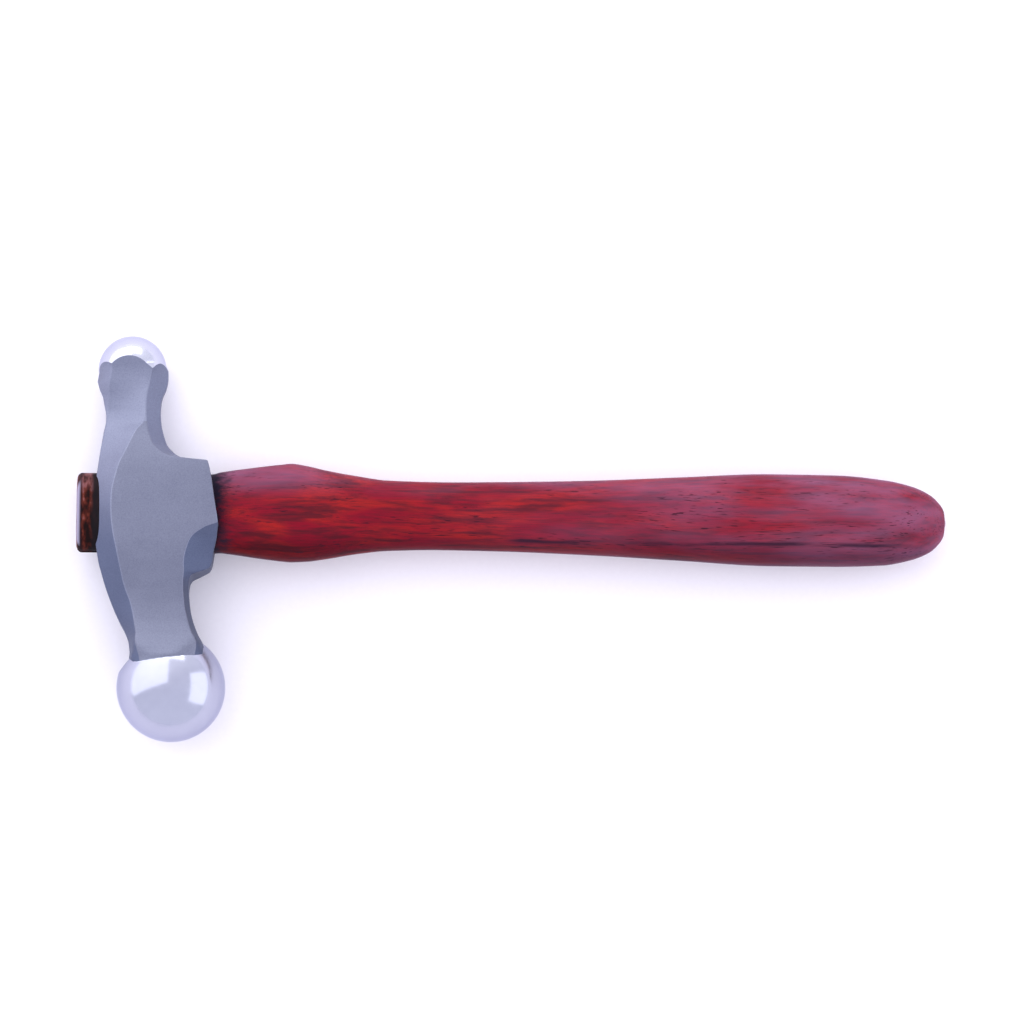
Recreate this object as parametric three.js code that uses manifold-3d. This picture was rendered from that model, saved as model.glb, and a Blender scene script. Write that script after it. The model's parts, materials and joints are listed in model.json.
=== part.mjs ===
// Embossing hammer, lying on a flat surface as it is put down on a bench.
//
// The head is one cast piece of stainless steel: a large polished ball at one end, a small
// polished dome on a six-sided collar at the other, and between them a ground body with
// slanted bevels. A one-piece hardwood handle passes through the eye of the head and is
// spread there by a hardwood wedge and by a small steel wedge driven across it.
//
// Units are millimetres. While it is built, the hammer has x along the handle toward the
// grip, y toward the small dome and z out of the cheek, with zero at the centre of the eye.
// At the end the whole hammer is laid on the plane z = 0, which it touches at three places:
// the ball, the collar and the grip. The origin is then under the middle of its box.

import * as THREE from "three";
import { mergeVertices } from "three/addons/utils/BufferGeometryUtils.js";
import Module from "manifold-3d";

const wasm = await Module();
wasm.setup();

// Head: how the two faces lie on their common axis, which leans back toward the dome.
const BALL_DIAMETER = 25.4;
const BALL_REACH = 41.35; // from the eye's centre line to the ball's centre, along the axis
const DOME_DIAMETER = 15.9;
const DOME_REACH = 34.15;
const HEAD_LEAN_DEG = 7.8;
const AXIS_SET_BACK = 1.8; // where that axis crosses the handle's centre line

// Head: the ground body, widths across the axis and depths through the cheeks.
const COLLAR_WIDTH = 16.8;
const COLLAR_DEPTH = 15.5;
const SMALL_NECK_WIDTH = 13.0;
const SMALL_NECK_DEPTH = 12.0;
const BODY_WIDTH = 29.0;
const CHEEK_DEPTH = 19.0;
const LARGE_NECK_WIDTH = 16.6;
const LARGE_NECK_DEPTH = 15.8;
const COLLAR_SKIRT = 3.0; // length of the polished skirt below the dome, around the collar
const COLLAR_SKIRT_DEG = 15;
const THROAT_DEPTH = 1.65; // depth of the flat ground on the ball behind the neck
const THROAT_DEG = 46.7; // how far that flat is turned from facing straight up the head
const RIDGE_LAND = 0.3; // width of the worn flat where two bevels meet

// Handle: the part in the eye.
const TENON_HEIGHT = 18.6;
const TENON_DEPTH = 11.0;
const TENON_BACK = 18.8; // from the eye's centre to the tenon's end, behind the head
const TENON_CHAMFER = 1.1;
const EYE_MOUTH = 12.6; // from the eye's centre to where the handle starts to swell

// Handle: the part in the hand.
const GRIP_REACH = 184.5; // from the eye's centre to the grip's end
const SWELL_WIDTH = 23.1;
const SWELL_DEPTH = 16.4;
const WAIST_WIDTH = 16.0;
const WAIST_DEPTH = 14.0;
const GRIP_WIDTH = 21.6;
const GRIP_DEPTH = 19.0;

// Wedges in the tenon's end.
const KERF_LENGTH = 21.0;
const KERF_MOUTH = 2.8;
const KERF_ROOT = 1.5;
const STEEL_WEDGE_LENGTH = 9.0;
const STEEL_WEDGE_WIDTH = 8.0;
const STEEL_WEDGE_HEAD = 1.9;
const STEEL_WEDGE_TIP = 0.5;

// Clearances and overruns.
const EYE_CLEARANCE = 0.3;
const KERF_CLEARANCE = 0.3;
const OVERRUN = 6.0; // how far a cutter runs past what it cuts

// Fineness of the curved surfaces, in counts.
const BALL_SEGMENTS = 44;
const LATHE_SEGMENTS = 64;
const ARC_STEPS = 12;
const HEAD_STEPS_PER_ROW = 2;
const HANDLE_SIDES = 32;
const HANDLE_STEPS_PER_ROW = 3;
const FACE_SPLITS = 4;
const BEVEL_SPLITS = 2;

// Colours and finishes.
const steelFinish = { color: 0x9499ab, metalness: 0.95, roughness: 0.42 };
const handleFinish = { color: 0x7e1d20, metalness: 0.0, roughness: 0.38 };
const wedgeFinish = { color: 0x5a3220, metalness: 0.0, roughness: 0.6 };
const steelWedgeFinish = { color: 0x6d6f78, metalness: 0.9, roughness: 0.5 };

const lean = THREE.MathUtils.degToRad(HEAD_LEAN_DEG);
const lerp = THREE.MathUtils.lerp;
const domeRadius = DOME_DIAMETER / 2;
const ballRadius = BALL_DIAMETER / 2;

// A point on the head's axis, given its distance from the handle's centre line along y.
const axisX = (y) => -AXIS_SET_BACK - y * Math.tan(lean);
const domeY = DOME_REACH * Math.cos(lean);
const ballY = -BALL_REACH * Math.cos(lean);

// The ground body, row by row from above the dome down into the ball. A row gives, in this
// order: its place as a share of the way to the dome (above zero) or to the ball (below),
// the width and depth that it follows, and its shares of them. The width shares count from
// the axis: back edge, cheek's back line, cheek's front line and front edge. The depth shares
// are the cheek's height, then the half heights of the flats on the back and front edges.
// Then come the shares that set the collar's back corner on the way from the back edge to
// the cheek, across and in height, and how far the row is turned round to meet the ball.
const C = [COLLAR_WIDTH / 2, COLLAR_DEPTH / 2];
const S = [SMALL_NECK_WIDTH / 2, SMALL_NECK_DEPTH / 2];
const B = [BODY_WIDTH / 2, CHEEK_DEPTH / 2];
const L = [LARGE_NECK_WIDTH / 2, LARGE_NECK_DEPTH / 2];
const bodyRowShares = [
  [1.36, C, [-1.26, 0.6, 0.6, 1.26], [1.19, 0.15, 0.15], [0.34, 0.9], 0],
  [1.1, C, [-1.14, 0.585, 0.585, 1.14], [1.06, 0.14, 0.14], [0.32, 0.9], 0],
  [1.05, C, [-1.07, 0.575, 0.575, 1.06], [0.985, 0.14, 0.14], [0.31, 0.89], 0],
  [1.0, C, [-1.02, 0.57, 0.57, 1.0], [0.885, 0.13, 0.13], [0.3, 0.88], 0],
  [0.959, C, [-1.01, 0.51, 0.51, 0.985], [0.83, 0.13, 0.13], [0.28, 0.87], 0],
  [0.918, C, [-1.01, 0.46, 0.46, 0.955], [0.802, 0.14, 0.14], [0.25, 0.84], 0],
  [0.865, C, [-0.985, 0.395, 0.395, 0.88], [0.792, 0.16, 0.17], [0.21, 0.73], 0],
  [0.806, S, [-1.186, 0.409, 0.409, 0.965], [1.035, 0.27, 0.3], [0.16, 0.5], 0],
  [0.747, S, [-1.163, 0.348, 0.348, 0.868], [1.05, 0.34, 0.38], [0.1, 0.26], 0],
  [0.682, S, [-1.145, 0.302, 0.302, 0.817], [1.08, 0.39, 0.44], [0.06, 0.08], 0],
  [0.626, S, [-1.18, 0.24, 0.28, 0.803], [1.125, 0.41, 0.46], [0.06, 0.06], 0],
  [0.553, S, [-1.3, -0.094, 0.298, 0.837], [1.22, 0.45, 0.5], [0.06, 0.06], 0],
  [0.468, S, [-1.43, -0.369, 0.389, 0.923], [1.35, 0.5, 0.6], [0.06, 0.06], 0],
  [0.418, B, [-0.676, -0.234, 0.259, 0.486], [0.898, 0.34, 0.47], [0.06, 0.06], 0],
  [0.376, B, [-0.701, -0.294, 0.396, 0.603], [0.932, 0.36, 0.59], [0.06, 0.06], 0],
  [0.359, B, [-0.712, -0.321, 0.569, 0.803], [0.944, 0.37, 0.74], [0.06, 0.06], 0],
  [0.341, B, [-0.723, -0.348, 1.024, 1.041], [0.955, 0.385, 0.92], [0.06, 0.06], 0],
  [0.27, B, [-0.766, -0.428, 1.048, 1.065], [0.982, 0.4, 0.95], [0.06, 0.06], 0],
  [0.091, B, [-0.859, -0.568, 1.06, 1.077], [1.0, 0.43, 0.965], [0.06, 0.06], 0],
  [-0.07, B, [-0.914, -0.612, 1.073, 1.09], [1.0, 0.43, 0.955], [0.06, 0.06], 0],
  [-0.103, B, [-0.922, -0.613, 0.85, 1.07], [1.0, 0.43, 0.863], [0.06, 0.06], 0],
  [-0.16, B, [-0.93, -0.606, 0.62, 1.028], [1.0, 0.43, 0.663], [0.06, 0.06], 0],
  [-0.226, B, [-0.927, -0.589, 0.515, 0.959], [0.985, 0.43, 0.505], [0.06, 0.06], 0],
  [-0.285, B, [-0.922, -0.576, 0.455, 0.914], [0.955, 0.425, 0.41], [0.06, 0.06], 0],
  [-0.32, B, [-0.913, -0.567, 0.437, 0.86], [0.93, 0.42, 0.43], [0.06, 0.06], 0],
  [-0.347, L, [-1.57, -0.98, 0.755, 1.23], [1.095, 0.49, 0.68], [0.06, 0.06], 0],
  [-0.371, L, [-1.554, -0.967, 0.728, 0.966], [1.075, 0.48, 0.8], [0.06, 0.06], 0],
  [-0.408, L, [-1.523, -0.953, 0.695, 0.872], [1.045, 0.47, 0.62], [0.06, 0.06], 0],
  [-0.467, L, [-1.46, -0.9, 0.666, 0.823], [1.0, 0.45, 0.47], [0.06, 0.06], 0],
  [-0.541, L, [-1.365, -0.811, 0.653, 0.813], [0.978, 0.42, 0.43], [0.06, 0.06], 0],
  [-0.622, L, [-1.233, -0.775, 0.689, 0.852], [1.005, 0.41, 0.45], [0.06, 0.06], 0],
  [-0.703, L, [-1.082, -0.763, 0.767, 0.948], [1.105, 0.42, 0.5], [0.06, 0.06], 0.2],
  [-0.762, L, [-1.03, -0.82, 0.88, 1.06], [1.22, 0.46, 0.55], [0.06, 0.06], 0.4],
  [-0.81, L, [-1.035, -0.85, 0.9, 1.1], [1.33, 0.5, 0.56], [0.06, 0.06], 0.8],
  [-0.86, L, [-1.08, -0.9, 0.9, 1.12], [1.44, 0.56, 0.58], [0.06, 0.06], 1],
  [-0.93, L, [-0.9, -0.6, 0.8, 0.9], [1.1, 0.45, 0.45], [0.06, 0.06], 1],
];
const ballRootShare = 0.885; // radius of the turned root, as a share of the ball's

// The handle, row by row from the head to the grip: its place as a share of the way from the
// eye's mouth to the grip's end, the width and depth that it follows, and its shares of their
// halves: toward the dome, toward the ball and out of the cheek. The last value is squareness.
const T = [TENON_HEIGHT / 2, TENON_DEPTH / 2];
const W = [SWELL_WIDTH / 2, SWELL_DEPTH / 2];
const N = [WAIST_WIDTH / 2, WAIST_DEPTH / 2];
const G = [GRIP_WIDTH / 2, GRIP_DEPTH / 2];
const handleRowShares = [
  [0, T, [1, 1, 1], 2.6],
  [0.012, W, [0.85, 0.79, 0.74], 2.5],
  [0.026, W, [0.885, 0.81, 0.82], 2.4],
  [0.066, W, [0.97, 0.89, 0.94], 2.3],
  [0.095, W, [1.025, 0.94, 0.99], 2.25],
  [0.108, W, [1.045, 0.955, 1.0], 2.25],
  [0.13, W, [1.0, 0.94, 0.98], 2.25],
  [0.154, W, [0.92, 0.89, 0.95], 2.25],
  [0.197, N, [1.17, 1.12, 1.03], 2.2],
  [0.24, N, [1.05, 1.01, 1.0], 2.2],
  [0.31, N, [1.02, 0.965, 1.0], 2.2],
  [0.39, N, [1.045, 0.98, 1.03], 2.2],
  [0.52, N, [1.125, 1.065, 1.12], 2.2],
  [0.64, G, [0.93, 0.88, 0.92], 2.2],
  [0.76, G, [1.02, 0.97, 1.0], 2.25],
  [0.85, G, [1.01, 0.965, 0.99], 2.25],
  [0.914, G, [0.92, 0.925, 0.92], 2.25],
  [0.952, G, [0.79, 0.805, 0.795], 2.25],
  [0.977, G, [0.61, 0.64, 0.615], 2.2],
  [0.991, G, [0.405, 0.43, 0.405], 2.1],
  [0.9985, G, [0.18, 0.19, 0.18], 2.0],
];
const tenonSquareness = 2.6;

// Smooth curve through rows of values that never overshoots them. The first value of each
// row is its place, and the places fall or rise all the way.
function curveThrough(rows) {
  const slopes = rows.slice(1).map((row, i) =>
    row.map((value, k) => (value - rows[i][k]) / (row[0] - rows[i][0])),
  );
  const tangents = rows.map((row, i) =>
    row.map((_, k) => {
      if (i === 0 || i === rows.length - 1) return 0;
      const before = slopes[i - 1][k];
      const after = slopes[i][k];
      return before * after > 0 ? (2 * before * after) / (before + after) : 0;
    }),
  );
  return (i, t) =>
    rows[i].map((value, k) => {
      const next = rows[i + 1][k];
      const span = rows[i + 1][0] - rows[i][0];
      if (k === 0) return lerp(value, next, t);
      const t2 = t * t;
      const t3 = t2 * t;
      return (
        (2 * t3 - 3 * t2 + 1) * value +
        (t3 - 2 * t2 + t) * span * tangents[i][k] +
        (3 * t2 - 2 * t3) * next +
        (t3 - t2) * span * tangents[i + 1][k]
      );
    });
}

// Every row, and so many even steps between two rows.
function sampled(rows, steps) {
  const at = curveThrough(rows);
  const result = [];
  for (let i = 0; i < rows.length - 1; i += 1) {
    for (let j = 0; j < steps; j += 1) result.push(at(i, j / steps));
  }
  result.push(rows[rows.length - 1]);
  return result;
}

// Closed solid skinned over rings of points, with a fan of triangles on each end.
function skin(rings) {
  const positions = [];
  const index = [];
  const count = rings[0].length;
  rings.forEach((ring) => ring.forEach((p) => positions.push(p.x, p.y, p.z)));
  for (let r = 0; r < rings.length - 1; r += 1) {
    for (let i = 0; i < count; i += 1) {
      const a = r * count + i;
      const b = r * count + ((i + 1) % count);
      index.push(a, b, b + count, a, b + count, a + count);
    }
  }
  [0, rings.length - 1].forEach((r) => {
    const middle = positions.length / 3;
    const centre = new THREE.Vector3();
    rings[r].forEach((p) => centre.addScaledVector(p, 1 / count));
    positions.push(centre.x, centre.y, centre.z);
    for (let i = 0; i < count; i += 1) {
      const a = r * count + i;
      const b = r * count + ((i + 1) % count);
      index.push(...(r === 0 ? [b, a, middle] : [a, b, middle]));
    }
  });
  const geometry = new THREE.BufferGeometry();
  geometry.setAttribute("position", new THREE.Float32BufferAttribute(positions, 3));
  geometry.setIndex(index);
  return geometry;
}

// A three.js geometry as a solid that can be joined and cut, and back again.
function toSolid(geometry) {
  const bare = geometry.clone();
  bare.deleteAttribute("normal");
  bare.deleteAttribute("uv");
  const merged = mergeVertices(bare);
  return new wasm.Manifold(
    new wasm.Mesh({
      numProp: 3,
      vertProperties: merged.attributes.position.array,
      triVerts: new Uint32Array(merged.index.array),
    }),
  );
}

function toGeometry(solid) {
  const mesh = solid.getMesh();
  const geometry = new THREE.BufferGeometry();
  geometry.setAttribute("position", new THREE.BufferAttribute(mesh.vertProperties, 3));
  geometry.setIndex(new THREE.BufferAttribute(mesh.triVerts, 1));
  return geometry;
}

// One ring of the ground body, the same on both cheeks.
function bodyRing([y, back, cheekBack, cheekFront, front, cheek, backFlat, frontFlat, ...rest]) {
  const [cornerAcross, cornerHeight, turned] = rest;
  const axis = axisX(y);
  const side = [];
  const edge = (from, to, splits) => {
    for (let i = 0; i < splits; i += 1) {
      side.push([lerp(from[0], to[0], i / splits), lerp(from[1], to[1], i / splits)]);
    }
  };
  const start = [back, backFlat];
  const corner = [
    lerp(back, cheekBack, cornerAcross),
    lerp(backFlat, cheek, cornerHeight),
  ];
  const landBack = [cheekBack - RIDGE_LAND / 2, cheek];
  const landFront = [cheekFront + RIDGE_LAND / 2, cheek];
  edge(start, corner, 1);
  edge(corner, landBack, BEVEL_SPLITS);
  edge(landBack, landFront, FACE_SPLITS);
  edge(landFront, [front, frontFlat], BEVEL_SPLITS);
  side.push([front, frontFlat]);
  const root = ballRootShare * ballRadius;
  const near = side.map(([across, height]) => {
    const radius = Math.hypot(across, height);
    const scale = radius > root ? lerp(1, root / radius, turned) : 1;
    return new THREE.Vector3(axis + across * scale, y, height * scale);
  });
  const far = near.map((p) => new THREE.Vector3(p.x, p.y, -p.z)).reverse();
  return [...near, ...far].reverse();
}

function groundBody() {
  const rows = bodyRowShares.map(([place, [width, depth], across, deep, corner, turned]) => [
    place * (place > 0 ? domeY : -ballY),
    ...across.map((share) => share * width),
    ...deep.map((share) => share * depth),
    ...corner,
    turned,
  ]);
  return toSolid(skin(sampled(rows, HEAD_STEPS_PER_ROW).map(bodyRing)));
}

// Everything that a lathe leaves of the head: the dome, its skirt around the collar, and
// below that enough room for the whole ground body.
function turnedLimit() {
  const profile = [];
  for (let i = 0; i <= ARC_STEPS; i += 1) {
    const angle = lerp(Math.PI / 2, 0, i / ARC_STEPS);
    profile.push(
      new THREE.Vector2(domeRadius * Math.cos(angle), domeRadius * Math.sin(angle)),
    );
  }
  profile[0].x = 0;
  const skirt = domeRadius + COLLAR_SKIRT * Math.tan(THREE.MathUtils.degToRad(COLLAR_SKIRT_DEG));
  const wide = skirt + BODY_WIDTH;
  const foot = -(DOME_REACH + BALL_REACH + BALL_DIAMETER + wide);
  profile.push(
    new THREE.Vector2(skirt, -COLLAR_SKIRT),
    new THREE.Vector2(wide, -COLLAR_SKIRT - BODY_WIDTH),
    new THREE.Vector2(wide, foot),
    new THREE.Vector2(0, foot),
  );
  const geometry = new THREE.LatheGeometry(profile.reverse(), LATHE_SEGMENTS);
  geometry.rotateZ(lean);
  geometry.translate(axisX(domeY), domeY, 0);
  return toSolid(geometry);
}

// The ball, with the flat that is ground on it where it runs into the back of the neck.
function largeBall() {
  const ball = new THREE.SphereGeometry(ballRadius, BALL_SEGMENTS, BALL_SEGMENTS / 2);
  ball.rotateZ(lean);
  const flat = new THREE.BoxGeometry(BALL_DIAMETER, BALL_DIAMETER, BALL_DIAMETER);
  flat.translate(0, BALL_DIAMETER - THROAT_DEPTH, 0);
  flat.rotateZ(THREE.MathUtils.degToRad(THROAT_DEG));
  return toSolid(ball).subtract(toSolid(flat)).translate(axisX(ballY), ballY, 0);
}

// One oval ring of the handle. Clearance swells it for the eye that it passes through.
function handleRing([x, toDome, toBall, deep, squareness], clearance = 0) {
  const ring = [];
  for (let i = 0; i < HANDLE_SIDES; i += 1) {
    const angle = (i / HANDLE_SIDES) * Math.PI * 2;
    const c = Math.cos(angle);
    const s = Math.sin(angle);
    const reach = (value) => Math.sign(value) * Math.abs(value) ** (2 / squareness);
    const across = (c > 0 ? toDome : toBall) + clearance;
    ring.push(new THREE.Vector3(x, reach(c) * across, reach(s) * (deep + clearance)));
  }
  return ring;
}

function handleRows() {
  const swing = GRIP_REACH - EYE_MOUTH;
  return handleRowShares.map(([place, [width, depth], [toDome, toBall, deep], squareness]) => [
    EYE_MOUTH + place * swing,
    toDome * width,
    toBall * width,
    deep * depth,
    squareness,
  ]);
}

const tenonRow = (x, shrink) => [
  x,
  TENON_HEIGHT / 2 - shrink,
  TENON_HEIGHT / 2 - shrink,
  TENON_DEPTH / 2 - shrink,
  tenonSquareness,
];

function wholeHandle() {
  const rings = [
    tenonRow(-TENON_BACK, TENON_CHAMFER),
    tenonRow(-TENON_BACK + TENON_CHAMFER, 0),
    tenonRow(0, 0),
    ...sampled(handleRows(), HANDLE_STEPS_PER_ROW),
  ].map((row) => handleRing(row));
  return toSolid(skin(rings));
}

function eyeCutter() {
  const rows = sampled(handleRows(), HANDLE_STEPS_PER_ROW).filter(
    (row) => row[0] < EYE_MOUTH + BODY_WIDTH,
  );
  const rings = [tenonRow(-TENON_BACK - OVERRUN, 0), ...rows].map((row) =>
    handleRing(row, EYE_CLEARANCE),
  );
  return toSolid(skin(rings));
}

// A wedge or the slot for it: it narrows from its head at the tenon's end to its tip. Its
// thickness lies along z, or along y when it is driven across.
function taper(length, headThick, tipThick, width, overrun, across) {
  const grow = (headThick - tipThick) / length;
  const head = -TENON_BACK - overrun;
  const tip = -TENON_BACK + length;
  const headHalf = (headThick + grow * overrun) / 2;
  const tipHalf = tipThick / 2;
  const shape = new THREE.Shape([
    new THREE.Vector2(head, -headHalf),
    new THREE.Vector2(tip, -tipHalf),
    new THREE.Vector2(tip, tipHalf),
    new THREE.Vector2(head, headHalf),
  ]);
  const geometry = new THREE.ExtrudeGeometry(shape, { depth: width, bevelEnabled: false });
  geometry.translate(0, 0, -width / 2);
  if (!across) geometry.rotateX(Math.PI / 2);
  return toSolid(geometry);
}

const kerf = taper(KERF_LENGTH, KERF_MOUTH, KERF_ROOT, TENON_HEIGHT * 2, OVERRUN, false);
const steelSlot = taper(
  STEEL_WEDGE_LENGTH + KERF_CLEARANCE,
  STEEL_WEDGE_HEAD + 2 * KERF_CLEARANCE,
  STEEL_WEDGE_TIP + 2 * KERF_CLEARANCE,
  STEEL_WEDGE_WIDTH + 2 * KERF_CLEARANCE,
  OVERRUN,
  true,
);
const kerfWedgeBlank = taper(
  KERF_LENGTH - KERF_CLEARANCE,
  KERF_MOUTH - 2 * KERF_CLEARANCE,
  KERF_ROOT - 2 * KERF_CLEARANCE,
  TENON_HEIGHT - 2 * TENON_CHAMFER,
  0,
  false,
);
const steelWedge = taper(
  STEEL_WEDGE_LENGTH,
  STEEL_WEDGE_HEAD,
  STEEL_WEDGE_TIP,
  STEEL_WEDGE_WIDTH,
  0,
  true,
);

const head = groundBody().intersect(turnedLimit()).add(largeBall()).subtract(eyeCutter());
const handle = wholeHandle().subtract(kerf).subtract(steelSlot);
const kerfWedge = kerfWedgeBlank.subtract(steelSlot);

function piece(name, solid, finish) {
  const mesh = new THREE.Mesh(toGeometry(solid), new THREE.MeshStandardMaterial(finish));
  mesh.name = name;
  return mesh;
}

const hammer = new THREE.Group();
hammer.add(
  piece("head", head, steelFinish),
  piece("handle", handle, handleFinish),
  piece("kerf_wedge", kerfWedge, wedgeFinish),
  piece("steel_wedge", steelWedge, steelWedgeFinish),
);

// The hammer is laid down on its three lowest places: the ball, the end by the dome and the
// grip. The plane through them is found by stepping to it from the level one.
function pointsOf(mesh, keep) {
  const position = mesh.geometry.attributes.position;
  const points = [];
  for (let i = 0; i < position.count; i += 1) {
    const p = new THREE.Vector3().fromBufferAttribute(position, i);
    if (keep(p)) points.push(p);
  }
  return points;
}

const contactSets = [
  pointsOf(hammer.children[0], (p) => p.y < 0),
  pointsOf(hammer.children[0], (p) => p.y > 0),
  pointsOf(hammer.children[1], (p) => p.x > EYE_MOUTH),
];
const CONTACT_STEPS = 20;
const up = new THREE.Vector3(0, 0, 1);
const normal = up.clone();
for (let i = 0; i < CONTACT_STEPS; i += 1) {
  const lowest = contactSets.map((points) =>
    points.reduce((low, p) => (p.dot(normal) < low.dot(normal) ? p : low)),
  );
  new THREE.Triangle(...lowest).getNormal(normal);
  if (normal.z < 0) normal.negate();
}
hammer.quaternion.setFromUnitVectors(normal, up);

// The origin goes under the middle of the hammer's box.
const laid = new THREE.Group();
laid.add(hammer);
laid.updateMatrixWorld(true);
const box = new THREE.Box3().setFromObject(hammer, true);
const middle = box.getCenter(new THREE.Vector3());
hammer.position.set(-middle.x, -middle.y, -box.min.z);

export default laid;
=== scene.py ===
"""Looks of the embossing hammer, in metres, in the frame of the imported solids.

The head, the handle and the two wedges are built again here with a finer mesh, from the same
sizes and rows of shares as the solids. Only the grip's tip is rounded by one row more. They
are made in the hammer's own frame, in millimetres, with x along the handle toward the grip,
y toward the dome, z out of the cheek and zero at the eye's centre. The matrix LYING puts them
where the solids lie.
"""
import json
import math

import bpy
import numpy as np
from mathutils import Matrix, Vector


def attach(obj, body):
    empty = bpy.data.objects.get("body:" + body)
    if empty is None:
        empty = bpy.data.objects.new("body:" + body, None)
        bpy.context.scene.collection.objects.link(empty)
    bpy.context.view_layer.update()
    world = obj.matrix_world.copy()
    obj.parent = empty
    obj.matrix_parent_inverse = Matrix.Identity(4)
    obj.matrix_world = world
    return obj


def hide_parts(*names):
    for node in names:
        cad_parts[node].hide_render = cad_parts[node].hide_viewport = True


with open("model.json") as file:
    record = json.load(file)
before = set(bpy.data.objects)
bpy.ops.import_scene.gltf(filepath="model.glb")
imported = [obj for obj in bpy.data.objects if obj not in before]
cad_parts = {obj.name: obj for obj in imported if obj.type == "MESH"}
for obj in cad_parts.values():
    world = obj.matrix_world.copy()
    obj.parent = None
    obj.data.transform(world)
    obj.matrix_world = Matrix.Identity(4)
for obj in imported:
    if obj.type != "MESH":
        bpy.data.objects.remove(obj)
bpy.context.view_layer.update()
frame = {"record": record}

# Sizes of the two faces and of the axis that they share, which leans back toward the dome.
BALL_DIAMETER = 25.4
BALL_REACH = 41.35
DOME_DIAMETER = 15.9
DOME_REACH = 34.15
HEAD_LEAN = math.radians(7.8)
AXIS_SET_BACK = 1.8

# Sizes of the ground body between the faces: widths across the axis, depths through the cheeks.
COLLAR_WIDTH, COLLAR_DEPTH = 16.8, 15.5
SMALL_NECK_WIDTH, SMALL_NECK_DEPTH = 13.0, 12.0
BODY_WIDTH, CHEEK_DEPTH = 29.0, 19.0
LARGE_NECK_WIDTH, LARGE_NECK_DEPTH = 16.6, 15.8
COLLAR_SKIRT, COLLAR_SKIRT_LEAN = 3.0, math.radians(15)
THROAT_DEPTH, THROAT_TURN = 1.65, math.radians(46.7)
RIDGE_LAND = 0.3
EDGE_ROUND = 0.42
LEAST_ROUND = 0.05
MOST_ROUND_SHARE = 0.45
BALL_ROOT_SHARE = 0.885

# Where the cheeks end, and the painted highlight on the edge at their front, as shares of the way to a
# face.
CHEEK_END_SHARE = 0.62
HIGHLIGHT_END_SHARE = 0.33

# Sizes of the handle.
TENON_HEIGHT, TENON_DEPTH = 18.6, 11.0
TENON_BACK = 18.8
TENON_CHAMFER = 1.1
TENON_SQUARENESS = 2.6
CHAMFER_CURVE = 1.6
EYE_MOUTH = 12.6
GRIP_REACH = 184.5
SWELL_WIDTH, SWELL_DEPTH = 23.1, 16.4
WAIST_WIDTH, WAIST_DEPTH = 16.0, 14.0
GRIP_WIDTH, GRIP_DEPTH = 21.6, 19.0

# Sizes of the kerf and the wedges, clearances, and how far a cutter runs past what it cuts.
KERF_LENGTH, KERF_MOUTH, KERF_ROOT = 21.0, 2.8, 1.5
STEEL_LENGTH, STEEL_WIDTH, STEEL_HEAD, STEEL_TIP = 9.0, 8.0, 1.9, 0.5
EYE_CLEARANCE = 0.3
KERF_CLEARANCE = 0.3
OVERRUN = 6.0

# Gaps that the tenon's own rows keep from its chamfer and from the row at the eye's mouth.
CHAMFER_GAP = 0.3
MOUTH_GAP = 0.8

# How finely the surfaces are made, in counts. RING_SPLITS has the parts of each side of a ring.
ARC_STEPS = 4
RING_SPLITS = (1, 4, 7, 4, 2, 4, 7, 4, 1, 2)
BODY_STEPS = 7
ROUND_SIDES = 160
DOME_STEPS = 40
SKIRT_STEPS = 8
BALL_STEPS = 110
HANDLE_SIDES = 112
HANDLE_STEPS = 9
CHAMFER_STEPS = 7
TENON_STEPS = 40
TAPER_STEPS = 12

# Small limits: the angle left open at a pole, the least half angle of a corner that is rounded,
# the least length to divide by, and the angle from which an edge is shown sharp.
POLE_GAP = 0.02
SHARPEST_HALF = 0.05
TINY = 1e-9
SHARP_ANGLE = math.radians(30)

# Where the hammer lies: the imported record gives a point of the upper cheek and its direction.
MM_PER_METRE = 1000
CHEEK_POINT = Vector((1, 3, CHEEK_DEPTH / 2))
cheek = next(m for m in frame["record"]["mounts"] if m["name"] == "upper_cheek")
turn = Vector((0, 0, 1)).rotation_difference(Vector(cheek["axis"])).to_matrix()
eye_centre = Vector(cheek["pos_m"]) - turn @ CHEEK_POINT / MM_PER_METRE
LYING = Matrix.Translation(eye_centre) @ turn.to_4x4() @ Matrix.Scale(1 / MM_PER_METRE, 4)

dome_y = DOME_REACH * math.cos(HEAD_LEAN)
ball_y = -BALL_REACH * math.cos(HEAD_LEAN)

# The half width and half depth that each row follows.
COLLAR = (COLLAR_WIDTH / 2, COLLAR_DEPTH / 2)
SMALL_NECK = (SMALL_NECK_WIDTH / 2, SMALL_NECK_DEPTH / 2)
BODY = (BODY_WIDTH / 2, CHEEK_DEPTH / 2)
LARGE_NECK = (LARGE_NECK_WIDTH / 2, LARGE_NECK_DEPTH / 2)
TENON = (TENON_HEIGHT / 2, TENON_DEPTH / 2)
SWELL = (SWELL_WIDTH / 2, SWELL_DEPTH / 2)
WAIST = (WAIST_WIDTH / 2, WAIST_DEPTH / 2)
GRIP = (GRIP_WIDTH / 2, GRIP_DEPTH / 2)

# Away from the collar, the collar's back corner lies next to the back edge.
AT_EDGE = (0.06, 0.06)

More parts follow.
